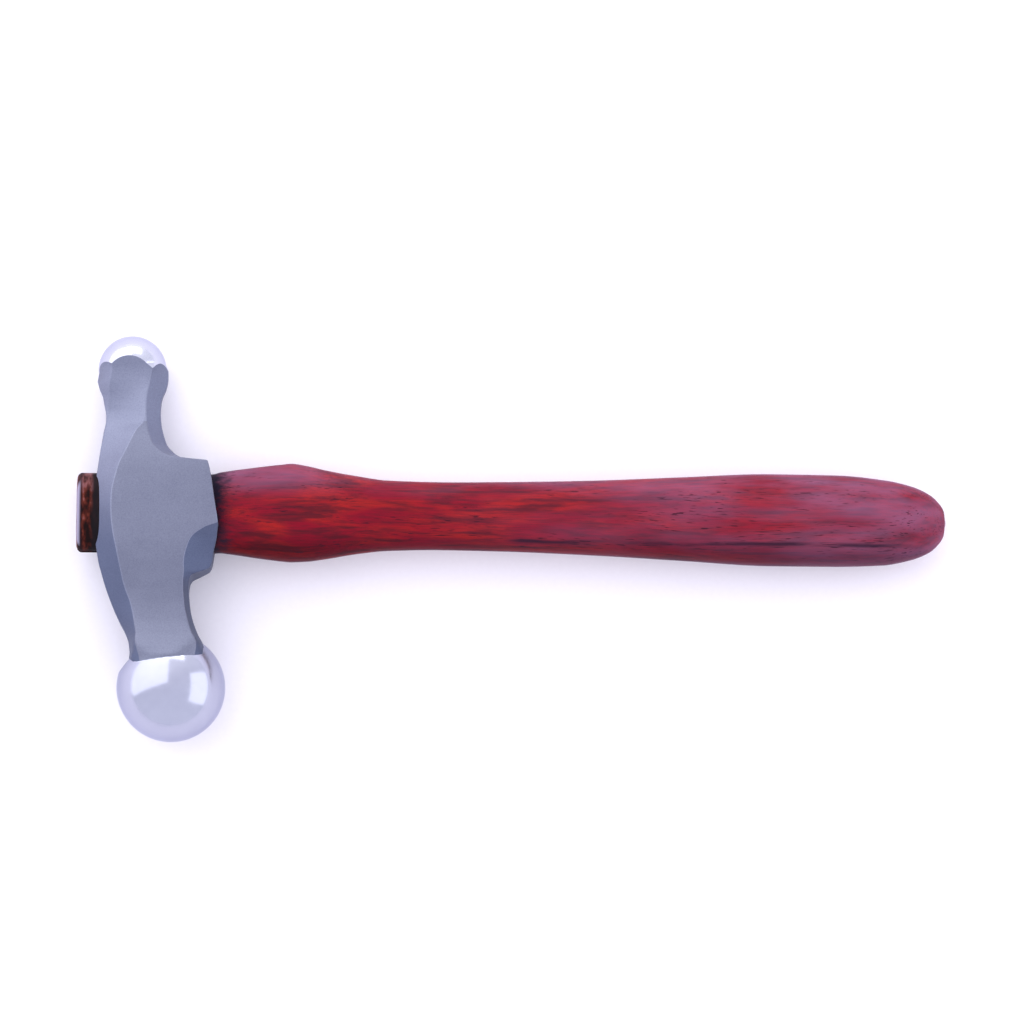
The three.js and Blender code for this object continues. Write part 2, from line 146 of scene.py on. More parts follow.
# The ground body, row by row, as in the solid: place, what the row follows, shares of the width
# from the axis (back edge, cheek's back and front lines, front edge), shares of the depth
# (cheek, back flat, front flat), the collar's back corner on the way from the back edge to the
# cheek, and how far the row is turned round to meet the ball.
BODY_ROWS = [
    (1.36, COLLAR, (-1.26, 0.6, 0.6, 1.26), (1.19, 0.15, 0.15), (0.34, 0.9), 0),
    (1.1, COLLAR, (-1.14, 0.585, 0.585, 1.14), (1.06, 0.14, 0.14), (0.32, 0.9), 0),
    (1.05, COLLAR, (-1.07, 0.575, 0.575, 1.06), (0.985, 0.14, 0.14), (0.31, 0.89), 0),
    (1.0, COLLAR, (-1.02, 0.57, 0.57, 1.0), (0.885, 0.13, 0.13), (0.3, 0.88), 0),
    (0.959, COLLAR, (-1.01, 0.51, 0.51, 0.985), (0.83, 0.13, 0.13), (0.28, 0.87), 0),
    (0.918, COLLAR, (-1.01, 0.46, 0.46, 0.955), (0.802, 0.14, 0.14), (0.25, 0.84), 0),
    (0.865, COLLAR, (-0.985, 0.395, 0.395, 0.88), (0.792, 0.16, 0.17), (0.21, 0.73), 0),
    (0.806, SMALL_NECK, (-1.186, 0.409, 0.409, 0.965), (1.035, 0.27, 0.3), (0.16, 0.5), 0),
    (0.747, SMALL_NECK, (-1.163, 0.348, 0.348, 0.868), (1.05, 0.34, 0.38), (0.1, 0.26), 0),
    (0.682, SMALL_NECK, (-1.145, 0.302, 0.302, 0.817), (1.08, 0.39, 0.44), (0.06, 0.08), 0),
    (0.626, SMALL_NECK, (-1.18, 0.24, 0.28, 0.803), (1.125, 0.41, 0.46), AT_EDGE, 0),
    (0.553, SMALL_NECK, (-1.3, -0.094, 0.298, 0.837), (1.22, 0.45, 0.5), AT_EDGE, 0),
    (0.468, SMALL_NECK, (-1.43, -0.369, 0.389, 0.923), (1.35, 0.5, 0.6), AT_EDGE, 0),
    (0.418, BODY, (-0.676, -0.234, 0.259, 0.486), (0.898, 0.34, 0.47), AT_EDGE, 0),
    (0.376, BODY, (-0.701, -0.294, 0.396, 0.603), (0.932, 0.36, 0.59), AT_EDGE, 0),
    (0.359, BODY, (-0.712, -0.321, 0.569, 0.803), (0.944, 0.37, 0.74), AT_EDGE, 0),
    (0.341, BODY, (-0.723, -0.348, 1.024, 1.041), (0.955, 0.385, 0.92), AT_EDGE, 0),
    (0.27, BODY, (-0.766, -0.428, 1.048, 1.065), (0.982, 0.4, 0.95), AT_EDGE, 0),
    (0.091, BODY, (-0.859, -0.568, 1.06, 1.077), (1.0, 0.43, 0.965), AT_EDGE, 0),
    (-0.07, BODY, (-0.914, -0.612, 1.073, 1.09), (1.0, 0.43, 0.955), AT_EDGE, 0),
    (-0.103, BODY, (-0.922, -0.613, 0.85, 1.07), (1.0, 0.43, 0.863), AT_EDGE, 0),
    (-0.16, BODY, (-0.93, -0.606, 0.62, 1.028), (1.0, 0.43, 0.663), AT_EDGE, 0),
    (-0.226, BODY, (-0.927, -0.589, 0.515, 0.959), (0.985, 0.43, 0.505), AT_EDGE, 0),
    (-0.285, BODY, (-0.922, -0.576, 0.455, 0.914), (0.955, 0.425, 0.41), AT_EDGE, 0),
    (-0.32, BODY, (-0.913, -0.567, 0.437, 0.86), (0.93, 0.42, 0.43), AT_EDGE, 0),
    (-0.347, LARGE_NECK, (-1.57, -0.98, 0.755, 1.23), (1.095, 0.49, 0.68), AT_EDGE, 0),
    (-0.371, LARGE_NECK, (-1.554, -0.967, 0.728, 0.966), (1.075, 0.48, 0.8), AT_EDGE, 0),
    (-0.408, LARGE_NECK, (-1.523, -0.953, 0.695, 0.872), (1.045, 0.47, 0.62), AT_EDGE, 0),
    (-0.467, LARGE_NECK, (-1.46, -0.9, 0.666, 0.823), (1.0, 0.45, 0.47), AT_EDGE, 0),
    (-0.541, LARGE_NECK, (-1.365, -0.811, 0.653, 0.813), (0.978, 0.42, 0.43), AT_EDGE, 0),
    (-0.622, LARGE_NECK, (-1.233, -0.775, 0.689, 0.852), (1.005, 0.41, 0.45), AT_EDGE, 0),
    (-0.703, LARGE_NECK, (-1.082, -0.763, 0.767, 0.948), (1.105, 0.42, 0.5), AT_EDGE, 0.2),
    (-0.762, LARGE_NECK, (-1.03, -0.82, 0.88, 1.06), (1.22, 0.46, 0.55), AT_EDGE, 0.4),
    (-0.81, LARGE_NECK, (-1.035, -0.85, 0.9, 1.1), (1.33, 0.5, 0.56), AT_EDGE, 0.8),
    (-0.86, LARGE_NECK, (-1.08, -0.9, 0.9, 1.12), (1.44, 0.56, 0.58), AT_EDGE, 1),
    (-0.93, LARGE_NECK, (-0.9, -0.6, 0.8, 0.9), (1.1, 0.45, 0.45), AT_EDGE, 1),
]

# The handle, row by row from the head to the grip: place, what the row follows, shares toward
# the dome, toward the ball and out of the cheek, and squareness.
HANDLE_ROWS = [
    (0, TENON, (1, 1, 1), TENON_SQUARENESS),
    (0.012, SWELL, (0.85, 0.79, 0.74), 2.5),
    (0.026, SWELL, (0.885, 0.81, 0.82), 2.4),
    (0.066, SWELL, (0.97, 0.89, 0.94), 2.3),
    (0.095, SWELL, (1.025, 0.94, 0.99), 2.25),
    (0.108, SWELL, (1.045, 0.955, 1.0), 2.25),
    (0.13, SWELL, (1.0, 0.94, 0.98), 2.25),
    (0.154, SWELL, (0.92, 0.89, 0.95), 2.25),
    (0.197, WAIST, (1.17, 1.12, 1.03), 2.2),
    (0.24, WAIST, (1.05, 1.01, 1.0), 2.2),
    (0.31, WAIST, (1.02, 0.965, 1.0), 2.2),
    (0.39, WAIST, (1.045, 0.98, 1.03), 2.2),
    (0.52, WAIST, (1.125, 1.065, 1.12), 2.2),
    (0.64, GRIP, (0.93, 0.88, 0.92), 2.2),
    (0.76, GRIP, (1.02, 0.97, 1.0), 2.25),
    (0.85, GRIP, (1.01, 0.965, 0.99), 2.25),
    (0.914, GRIP, (0.92, 0.925, 0.92), 2.25),
    (0.952, GRIP, (0.79, 0.805, 0.795), 2.25),
    (0.977, GRIP, (0.61, 0.64, 0.615), 2.2),
    (0.991, GRIP, (0.405, 0.43, 0.405), 2.1),
    (0.9965, GRIP, (0.25, 0.265, 0.25), 2.0),
    (0.9985, GRIP, (0.05, 0.05, 0.05), 2.0),
]

# The head's finishes, as the order of its material slots. The bevels carry painted light and the edges a
# painted highlight.
CHEEK, BACK_BEVEL, HIGHLIGHT_EDGE, FRONT_BEVEL = range(4)


def axis_x(y):
    """Where the head's axis is at this distance from the handle's centre line."""
    return -AXIS_SET_BACK - y * math.tan(HEAD_LEAN)


def on_head(y):
    """A point of the head's axis, where the hammer lies."""
    return LYING @ Vector((axis_x(y), y, 0))


def on_axis(y, angle):
    """Puts a piece on the head's axis at this distance, turned about z by this angle."""
    return Matrix.Translation((axis_x(y), y, 0)) @ Matrix.Rotation(angle, 4, "Z")


def through(rows, steps):
    """Every row, and so many even steps between two, on a curve that never overshoots."""
    rows = np.array(rows, float)
    span = np.diff(rows[:, 0])[:, None]
    slope = np.diff(rows, axis=0) / span
    before, after = slope[:-1], slope[1:]
    total = np.where(before * after > 0, before + after, 1)
    tangent = np.zeros_like(rows)
    tangent[1:-1] = np.where(before * after > 0, 2 * before * after / total, 0)
    out = []
    for i in range(len(rows) - 1):
        for t in np.arange(steps) / steps:
            row = (
                (2 * t**3 - 3 * t**2 + 1) * rows[i]
                + (t**3 - 2 * t**2 + t) * span[i] * tangent[i]
                + (3 * t**2 - 2 * t**3) * rows[i + 1]
                + (t**3 - t**2) * span[i] * tangent[i + 1]
            )
            row[0] = rows[i, 0] + t * span[i, 0]
            out.append(row)
    out.append(rows[-1])
    return out


def link(name, mesh):
    """A new object in the scene that shows this mesh."""
    piece = bpy.data.objects.new(name, mesh)
    bpy.context.scene.collection.objects.link(piece)
    return piece


def skin(name, rings):
    """Closed mesh object over rings of points, with a face on each end."""
    count = len(rings[0])
    points = np.array(rings).reshape(-1, 3)
    faces = []
    for r in range(len(rings) - 1):
        for i in range(count):
            a, b = r * count + i, r * count + (i + 1) % count
            faces.append((a, b, b + count, a + count))
    last = (len(rings) - 1) * count
    faces.append(tuple(reversed(range(count))))
    faces.append(tuple(range(last, last + count)))
    mesh = bpy.data.meshes.new(name)
    mesh.from_pydata([tuple(p) for p in points], [], faces)
    mesh.update()
    return link(name, mesh)


def turned(name, profile):
    """What a lathe makes of a profile of points, each so far across and along the y axis."""
    angles = np.arange(ROUND_SIDES)[::-1] / ROUND_SIDES * 2 * math.pi
    rings = []
    for across, along in profile:
        rings.append([(across * math.sin(a), along, across * math.cos(a)) for a in angles])
    return skin(name, rings)


def rounded(corners, splits, radius):
    """A closed polygon with rounded corners, and with each side cut into so many parts."""
    corners = np.array(corners, float)
    count = len(corners)
    ends = []
    for i, corner in enumerate(corners):
        to_last = corners[i - 1] - corner
        to_next = corners[(i + 1) % count] - corner
        last_length, next_length = np.linalg.norm(to_last), np.linalg.norm(to_next)
        to_last = to_last / max(last_length, TINY)
        to_next = to_next / max(next_length, TINY)
        half = math.acos(max(-1.0, min(1.0, float(to_last @ to_next)))) / 2
        reach = max(radius / math.tan(max(half, SHARPEST_HALF)), LEAST_ROUND)
        reach = min(reach, MOST_ROUND_SHARE * last_length, MOST_ROUND_SHARE * next_length)
        ends.append((corner + to_last * reach, corner, corner + to_next * reach))
    out = []
    for i, (start, corner, end) in enumerate(ends):
        for s in np.arange(ARC_STEPS + 1) / ARC_STEPS:
            out.append((1 - s) ** 2 * start + 2 * s * (1 - s) * corner + s**2 * end)
        following = ends[(i + 1) % count][0]
        for j in range(1, splits[i]):
            out.append(end + (following - end) * j / splits[i])
    return out


def face_outward(mesh):
    """Flips the faces of a closed mesh if they look inward, as its signed volume tells."""
    volume = 0.0
    for face in mesh.polygons:
        first, *others = [mesh.vertices[i].co for i in face.vertices]
        for second, third in zip(others, others[1:]):
            volume += first.dot(second.cross(third))
    if volume < 0:
        mesh.flip_normals()


def combine(piece, other, operation):
    """Joins or cuts with another piece, keeps each face's material, and removes the other."""
    face_outward(piece.data)
    face_outward(other.data)
    tool = piece.modifiers.new("tool", "BOOLEAN")
    tool.object = other
    tool.operation = operation
    tool.solver = "EXACT"
    tool.material_mode = "TRANSFER"
    bpy.context.view_layer.update()
    evaluated = piece.evaluated_get(bpy.context.evaluated_depsgraph_get())
    made = bpy.data.meshes.new_from_object(evaluated)
    piece.modifiers.clear()
    piece.data = made
    bpy.data.objects.remove(other)
    return piece


def set_material(piece, material):
    """Gives the whole piece one material."""
    piece.data.materials.clear()
    piece.data.materials.append(material)
    return piece


def finish_piece(piece, name, node):
    """Puts a piece where the solid lies, smooths its faces, and lets it stand for the node."""
    piece.name = name
    piece.data.transform(LYING)
    piece.data.shade_smooth()
    piece.data.set_sharp_from_angle(angle=SHARP_ANGLE)
    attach(piece, "root")
    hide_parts(node)
    return piece


def body_ring(row):
    """One ring of the ground body: ten corners, five of them on the side of each cheek."""
    y, back, cheek_back, cheek_front, front, cheek_z, back_z, front_z, across, height, turned_in = row
    near = [
        (back, back_z),
        (back + (cheek_back - back) * across, back_z + (cheek_z - back_z) * height),
        (cheek_back - RIDGE_LAND / 2, cheek_z),
        (cheek_front + RIDGE_LAND / 2, cheek_z),
        (front, front_z),
    ]
    far = [(x, -z) for x, z in reversed(near)]
    root = BALL_ROOT_SHARE * BALL_DIAMETER / 2
    ring = []
    for x, z in rounded(near + far, RING_SPLITS, EDGE_ROUND):
        reach = math.hypot(x, z)
        scale = 1 + (root / reach - 1) * turned_in if reach > root else 1
        ring.append((axis_x(y) + x * scale, y, z * scale))
    return ring[::-1]


def ring_finishes(front_edge):
    """The finish of each face round a ring, with this one on the front edges of the cheeks."""
    back, cheek, front = BACK_BEVEL, CHEEK, FRONT_BEVEL
    arcs = (back, back, HIGHLIGHT_EDGE, front_edge, front, front, front_edge, HIGHLIGHT_EDGE, back, back)
    sides = (back, back, cheek, front, front, front, cheek, back, back, back)
    out = []
    for arc, side, split in zip(arcs, sides, RING_SPLITS):
        out += [arc] * ARC_STEPS + [side] * split
    # A body ring runs the other way round, so its faces do too.
    return out[-2::-1] + out[-1:]


def ground_body(finishes):
    """The body, with its cheeks, its bevels and the edges between them in their own finishes: painted
    light on the bevels and a painted highlight on the edges.
    """
    rows = []
    for place, (width, depth), across, deep, corner, turned_in in BODY_ROWS:
        y = place * (dome_y if place > 0 else -ball_y)
        rows.append((y, *[a * width for a in across], *[d * depth for d in deep], *corner, turned_in))
    body = skin("head_body", [body_ring(row) for row in through(rows, BODY_STEPS)])
    for finish in finishes:
        body.data.materials.append(finish)
    plain, edged = ring_finishes(CHEEK), ring_finishes(HIGHLIGHT_EDGE)
    for face in body.data.polygons:
        y = face.center.y
        # Between the eye and a share of the way to the ball, the front edges carry the painted highlight
        # too.
        finish = (edged if HIGHLIGHT_END_SHARE * ball_y < y < 0 else plain)[face.index % len(plain)]
        past_cheek = y > CHEEK_END_SHARE * dome_y and finish in (CHEEK, HIGHLIGHT_EDGE)
        if past_cheek or len(face.vertices) > 4:
            finish = BACK_BEVEL
        if y < CHEEK_END_SHARE * ball_y and finish == HIGHLIGHT_EDGE:
            finish = CHEEK
        face.material_index = finish
    return body


def turned_limit():
    """What a lathe leaves: the dome, its skirt, and wide room for the body below."""
    radius = DOME_DIAMETER / 2
    skirt = radius + COLLAR_SKIRT * math.tan(COLLAR_SKIRT_LEAN)
    dome_angles = np.linspace(POLE_GAP, math.pi / 2, DOME_STEPS)
    profile = [(radius * math.sin(a), radius * math.cos(a)) for a in dome_angles]
    for s in np.arange(1, SKIRT_STEPS + 1) / SKIRT_STEPS:
        profile.append((radius + (skirt - radius) * s, -COLLAR_SKIRT * s))
    wide = skirt + BODY_WIDTH
    foot = -(DOME_REACH + BALL_REACH + BALL_DIAMETER + wide)
    profile += [(wide, -COLLAR_SKIRT - BODY_WIDTH), (wide, foot)]
    piece = turned("lathe", profile)
    piece.data.transform(on_axis(dome_y, HEAD_LEAN))
    return piece


def large_ball():
    """The ball, with the small flat that is ground on it behind the neck."""
    radius = BALL_DIAMETER / 2
    angles = np.linspace(POLE_GAP, math.pi - POLE_GAP, BALL_STEPS)
    ball = turned("ball", [(radius * math.sin(b), radius * math.cos(b)) for b in angles])
    ball.data.transform(on_axis(ball_y, HEAD_LEAN))
    side = BALL_DIAMETER
    square = [(-side, -side), (side, -side), (side, side), (-side, side)]
    flat = skin("flat", [[(x, y, z) for x, z in square] for y in (radius - THROAT_DEPTH, radius + side)])
    flat.data.transform(on_axis(ball_y, THROAT_TURN))
    return combine(ball, flat, "DIFFERENCE")


def oval(x, to_dome, to_ball, deep, squareness, clearance=0.0):
    """A slightly squared oval round the handle's centre line, with its own reach each way."""
    ring = []
    for a in np.arange(HANDLE_SIDES) / HANDLE_SIDES * 2 * math.pi:
        c, s = math.cos(a), math.sin(a)
        across = (to_dome if c > 0 else to_ball) + clearance
        y = math.copysign(abs(c) ** (2 / squareness), c) * across
        z = math.copysign(abs(s) ** (2 / squareness), s) * (deep + clearance)
        ring.append((x, y, z))
    return ring


def handle_rows():
    """The rows of the handle outside the eye, in millimetres."""
    swing = GRIP_REACH - EYE_MOUTH
    rows = []
    for place, (width, depth), (to_dome, to_ball, deep), squareness in HANDLE_ROWS:
        x = EYE_MOUTH + place * swing
        rows.append((x, to_dome * width, to_ball * width, deep * depth, squareness))
    return through(rows, HANDLE_STEPS)


def tenon_row(x, shrink=0.0):
    """A row of the tenon, drawn in by so much."""
    half_height, half_depth = TENON
    return (x, half_height - shrink, half_height - shrink, half_depth - shrink, TENON_SQUARENESS)


def whole_handle():
    """The handle before its kerf and cross slot are cut."""
    rows = []
    for s in np.linspace(0, 1, CHAMFER_STEPS):
        bend = 1 - math.sqrt(max(0.0, 1 - (1 - s) ** CHAMFER_CURVE))
        rows.append(tenon_row(-TENON_BACK + TENON_CHAMFER * s, TENON_CHAMFER * bend))
    start = -TENON_BACK + TENON_CHAMFER + CHAMFER_GAP
    rows += [tenon_row(x) for x in np.linspace(start, EYE_MOUTH - MOUTH_GAP, TENON_STEPS)]
    return skin("handle_whole", [oval(*row) for row in rows + handle_rows()])


def eye_cutter():
    """The eye's cutter: the tenon and the handle's first rows, grown by the eye's clearance."""
    rows = [row for row in handle_rows() if row[0] < EYE_MOUTH + BODY_WIDTH]
    rows = [tenon_row(-TENON_BACK - OVERRUN)] + rows
    return skin("eye", [oval(*row, EYE_CLEARANCE) for row in rows])


def taper(name, length, head_thick, tip_thick, width, overrun, crosswise):
    """A wedge, or its slot, that narrows from the tenon's end to its tip, along or across the kerf."""
    grow = (head_thick - tip_thick) / length
    rings = []
    for s in np.linspace(0, 1, TAPER_STEPS):
        x = -TENON_BACK - overrun + (length + overrun) * s
        half = (tip_thick + grow * (-TENON_BACK + length - x)) / 2
        square = [(-width / 2, -half), (width / 2, -half), (width / 2, half), (-width / 2, half)]
        rings.append([(x, t, w) if crosswise else (x, w, t) for w, t in square])
    return skin(name, rings)


def kerf_tool():
    """The cutter of the kerf in the tenon."""
    return taper("kerf", KERF_LENGTH, KERF_MOUTH, KERF_ROOT, TENON_HEIGHT * 2, OVERRUN, False)


def slot_tool():
    """The cutter of the slot for the steel wedge."""
    room = 2 * KERF_CLEARANCE
    length = STEEL_LENGTH + KERF_CLEARANCE
    return taper("slot", length, STEEL_HEAD + room, STEEL_TIP + room, STEEL_WIDTH + room, OVERRUN, True)


def wedge_blank():
    """The wooden wedge before the cross slot is cut in it."""
    room = 2 * KERF_CLEARANCE
    length = KERF_LENGTH - KERF_CLEARANCE
    height = TENON_HEIGHT - 2 * TENON_CHAMFER
    return taper("wedge_blank", length, KERF_MOUTH - room, KERF_ROOT - room, height, 0.0, False)


def set_stops(node, stops):
    """Gives a colour ramp node these stops, each with its place and colour."""
    points = node.color_ramp.elements
    while len(points) < len(stops):
        points.new(0.5)
    for point, (place, color) in zip(points, stops):
        point.position, point.color = place, color


class Nodes:
    """A material's node tree, with short calls for the nodes that the surfaces here use."""

    def __init__(self, name):
        self.material = bpy.data.materials.new(name)
        self.material.use_nodes = True
        self.tree = self.material.node_tree
        self.tree.nodes.clear()
        self.out = self.add("ShaderNodeOutputMaterial")
        self.shader = self.add("ShaderNodeBsdfPrincipled")
        self.wire(self.shader.outputs["BSDF"], self.out.inputs["Surface"])
        self.place = self.add("ShaderNodeTexCoord").outputs["Object"]

    def add(self, kind, **settings):
        node = self.tree.nodes.new(kind)
        for key, value in settings.items():
            setattr(node, key, value)
        return node

    def wire(self, start, end):
        self.tree.links.new(start, end)

    def put(self, value, end):
        """Sets a socket, or links it when the value is another node's output."""
        if isinstance(value, bpy.types.NodeSocket):
            self.wire(value, end)
        else:
            end.default_value = value

    def mapped(self, scale, offset=(0, 0, 0), angle=(0, 0, 0), start=None):
        """A place scaled, turned and moved: the surface's own place if no start is given."""
        node = self.add("ShaderNodeMapping")
        self.wire(start or self.place, node.inputs["Vector"])
        node.inputs["Scale"].default_value = scale
        node.inputs["Location"].default_value = offset
        node.inputs["Rotation"].default_value = angle
        return node.outputs["Vector"]

    def from_eye(self):
        """The surface's place in millimetres from the eye's centre."""
        return self.mapped((MM_PER_METRE,) * 3, offset=tuple(-MM_PER_METRE * eye_centre))

    def noise(self, start, scale, detail, rough):
        node = self.add("ShaderNodeTexNoise")
        self.wire(start, node.inputs["Vector"])
        node.inputs["Scale"].default_value = scale
        node.inputs["Detail"].default_value = detail
        node.inputs["Roughness"].default_value = rough
        return node.outputs["Fac"]

    def stretched(self, start, scale, detail, rough, offset=(0, 0, 0)):
        """Noise with its own scale along each axis."""
        return self.noise(self.mapped(scale, offset=offset, start=start), 1.0, detail, rough)

    def math(self, operation, a, b=0.0):
        node = self.add("ShaderNodeMath", operation=operation)
        self.put(a, node.inputs[0])
        self.put(b, node.inputs[1])
        return node.outputs["Value"]

    def plus(self, a, b):
        return self.math("ADD", a, b)

    def times(self, a, b):
        return self.math("MULTIPLY", a, b)

    def swing(self, value, width):
        """Noise as a swing of so much about zero."""
        return self.times(self.math("SUBTRACT", value, 0.5), width)

    def vector(self, operation, a, b=(0, 0, 0)):
        node = self.add("ShaderNodeVectorMath", operation=operation)
        self.put(a, node.inputs[0])
        self.put(b, node.inputs[1])
        return node.outputs

    def split(self, vector):
        node = self.add("ShaderNodeSeparateXYZ")
        self.wire(vector, node.inputs["Vector"])
        return node.outputs

    def joined(self, x, y, z=0.0):
        node = self.add("ShaderNodeCombineXYZ")
        for value, end in zip((x, y, z), node.inputs):
            self.put(value, end)
        return node.outputs["Vector"]

    def span(self, value, low, high, to_low=0.0, to_high=1.0, smooth=False):
        """Maps a span of values to another and keeps to its ends."""
        node = self.add("ShaderNodeMapRange", clamp=True)
        node.interpolation_type = "SMOOTHSTEP" if smooth else "LINEAR"
        self.put(value, node.inputs["Value"])
        node.inputs["From Min"].default_value = low
        node.inputs["From Max"].default_value = high
        node.inputs["To Min"].default_value = to_low
        node.inputs["To Max"].default_value = to_high
        return node.outputs["Result"]

    def mix(self, factor, a, b, kind="MIX"):
        node = self.add("ShaderNodeMix", data_type="RGBA", blend_type=kind)
        self.put(factor, node.inputs[0])
        self.put(a, node.inputs[6])
        self.put(b, node.inputs[7])
        return node.outputs[2]

    def shaded(self, share, color, shade):
        """The colour, and by this share the same colour times a shade."""
        return self.mix(share, color, self.mix(1.0, color, shade, "MULTIPLY"))

    def ramp(self, value, stops):
        node = self.add("ShaderNodeValToRGB")
        self.wire(value, node.inputs["Fac"])
        set_stops(node, stops)
        return node.outputs["Color"]

    def bump(self, height, strength, distance):
        node = self.add("ShaderNodeBump")
        node.inputs["Strength"].default_value = strength
        node.inputs["Distance"].default_value = distance
        self.wire(height, node.inputs["Height"])
        return node.outputs["Normal"]

    def surface(self, color, roughness, normal, **fixed):
        """Sets the shader's colour, roughness and bump, and what is the same all over."""
        self.put(color, self.shader.inputs["Base Color"])
        self.put(roughness, self.shader.inputs["Roughness"])
        self.put(normal, self.shader.inputs["Normal"])
        for name, value in fixed.items():
            self.shader.inputs[name.replace("_", " ")].default_value = value
        return self.material


def tone(r, g, b):
    """A colour from its shares of red, green and blue."""
    return (r, g, b, 1.0)


# Steel: a darker and a lighter tone of each finish, some of them painted light, and the shades that
# darken them.
SATIN_TONES = tone(0.180, 0.192, 0.258), tone(0.200, 0.213, 0.283)
# Painted light: the bevels are a lit and a shaded copy of one blasted steel, lighter at the back and
# darker at the front.
LIT_BACK_BEVEL_TONES = tone(0.228, 0.244, 0.326), tone(0.252, 0.269, 0.357)
SHADED_FRONT_BEVEL_TONES = tone(0.178, 0.196, 0.274), tone(0.198, 0.217, 0.300)
# A painted highlight along the cheeks' edges, in a lighter steel.
EDGE_HIGHLIGHT_TONES = tone(0.232, 0.247, 0.326), tone(0.256, 0.272, 0.356)
# Painted light: the ball and the dome are a shaded and a lit copy of one polish.
SHADED_BALL_TONES = tone(0.408, 0.420, 0.518), tone(0.434, 0.446, 0.546)
LIT_DOME_TONES = tone(0.515, 0.527, 0.620), tone(0.545, 0.557, 0.650)
# Painted shade, which darkens the bevels toward the ball.
TOWARD_BALL_SHADE = tone(0.48, 0.525, 0.61)
GRAIN_SHADE = tone(0.80, 0.80, 0.84)
POLISH_TINT = tone(0.76, 0.77, 0.87)
WEDGE_STEEL = tone(0.30, 0.31, 0.34)
WEDGE_RUST = tone(0.16, 0.10, 0.08)

# Red hardwood.
CRIMSON = tone(0.190, 0.005, 0.016)
ORANGE_RED = tone(0.295, 0.013, 0.013)
DARK_STREAK = tone(0.070, 0.008, 0.014)
DARK_FIBRE = tone(0.070, 0.009, 0.016)
# A lavender haze: wear toward the grip, and painted sheen on the lit side.
HAZE_AND_SHEEN_TONE = tone(0.24, 0.10, 0.185)
# Painted shade on the handle's underside, toward the ball.
PAINTED_UNDERSIDE_SHADE = tone(0.50, 0.50, 0.56)
PORE = tone(0.022, 0.006, 0.014)
LONG_LINE = tone(0.020, 0.008, 0.020)
BRUISE = tone(0.10, 0.03, 0.07)
# Dirt and painted shade against the head.
GRIME_AND_SHADE = tone(0.012, 0.011, 0.022)
SHEEN_TINT = tone(0.85, 0.62, 1.0)

# The tenon's stub.
SEALED_STOPS = [
    (0.38, tone(0.010, 0.004, 0.004)),
    (0.50, tone(0.042, 0.008, 0.006)),
    (0.62, tone(0.110, 0.022, 0.014)),
    (0.78, tone(0.220, 0.085, 0.090)),
]
# A painted highlight on the stub's upper side.
TOP_HIGHLIGHT_TONE = tone(0.26, 0.13, 0.15)
SEALED_SHADOW = tone(0.014, 0.006, 0.008)
END_GRAIN_TONES = tone(0.090, 0.020, 0.016), tone(0.210, 0.060, 0.042)
END_GRAIN_DOT = tone(0.025, 0.008, 0.008)
# A painted highlight round the stub's end.
END_HIGHLIGHT_TONE = tone(0.34, 0.31, 0.43)
# Painted shade where the stub goes into the eye.
SHADE_AT_THE_EYE = tone(0.010, 0.008, 0.010)

# The wooden wedge and the paper.
WEDGE_WOOD_TONES = tone(0.16, 0.07, 0.03), tone(0.30, 0.15, 0.07)
WEDGE_WOOD_SPECK = tone(0.06, 0.025, 0.012)
PAPER_TONES = tone(0.855, 0.825, 0.875), tone(0.875, 0.845, 0.895)
PAPER_GLOW = tone(1.0, 0.99, 1.0)
PAPER_GLOW_STRENGTH = 0.06


def satin_steel(name, tones, shade_share):
    """Ground or bead-blasted steel: grain, faint clouds, and painted shade toward the ball by a share."""
    n = Nodes(name)
    grain = n.noise(n.place, 3400, 3, 0.7)
    clouds = n.noise(n.place, 180, 3, 0.55)
    strokes = n.noise(n.mapped((1, 0.12, 1), angle=(0, 0, 0.3)), 2600, 2, 0.5)
    y = n.split(n.from_eye())[1]
    color = n.mix(n.span(clouds, 0.3, 0.7), *tones)
    # Painted shade: darker toward the ball, by the given share.
    color = n.shaded(n.span(y, -9, 13, shade_share, 0.0, smooth=True), color, TOWARD_BALL_SHADE)
    color = n.shaded(n.span(grain, 0.38, 0.68), color, GRAIN_SHADE)
    roughness = n.span(clouds, 0.25, 0.75, 0.48, 0.56)
    height = n.plus(grain, n.times(strokes, 0.5))
    return n.surface(color, roughness, n.bump(height, 0.2, 0.00002), Metallic=1.0)


def polished_steel(name, y, tones):
    """Mirror-polished steel with the faint rings of the polishing wheel across the head's axis."""
    n = Nodes(name)
    up_the_head = (on_head(dome_y) - on_head(ball_y)).normalized()
    away = n.vector("SUBTRACT", n.place, on_head(y))["Vector"]
    along = n.vector("DOT_PRODUCT", away, up_the_head)["Value"]
    waver = n.times(n.noise(n.place, 220, 2, 0.5), 0.0012)
    marks = n.noise(n.joined(along, waver), 2600, 3, 0.6)
    haze = n.noise(n.place, 260, 3, 0.6)
    color = n.mix(n.span(haze, 0.3, 0.7), *tones)
    roughness = n.plus(n.span(marks, 0.35, 0.75, 0.13, 0.20), n.span(haze, 0.4, 0.8, 0.0, 0.06))
    normal = n.bump(marks, 0.05, 0.00002)
    return n.surface(color, roughness, normal, Metallic=1.0, Specular_Tint=POLISH_TINT)


def swaying_grain(n, mm):
    """Millimetres along and across a grain that sways a little."""
    x, y, z = n.split(mm)
    sway = n.swing(n.stretched(mm, (0.012, 0.05, 0.05), 2, 0.5), 6.0)
    return n.joined(x, n.plus(y, sway), n.plus(z, n.times(sway, 0.6)))


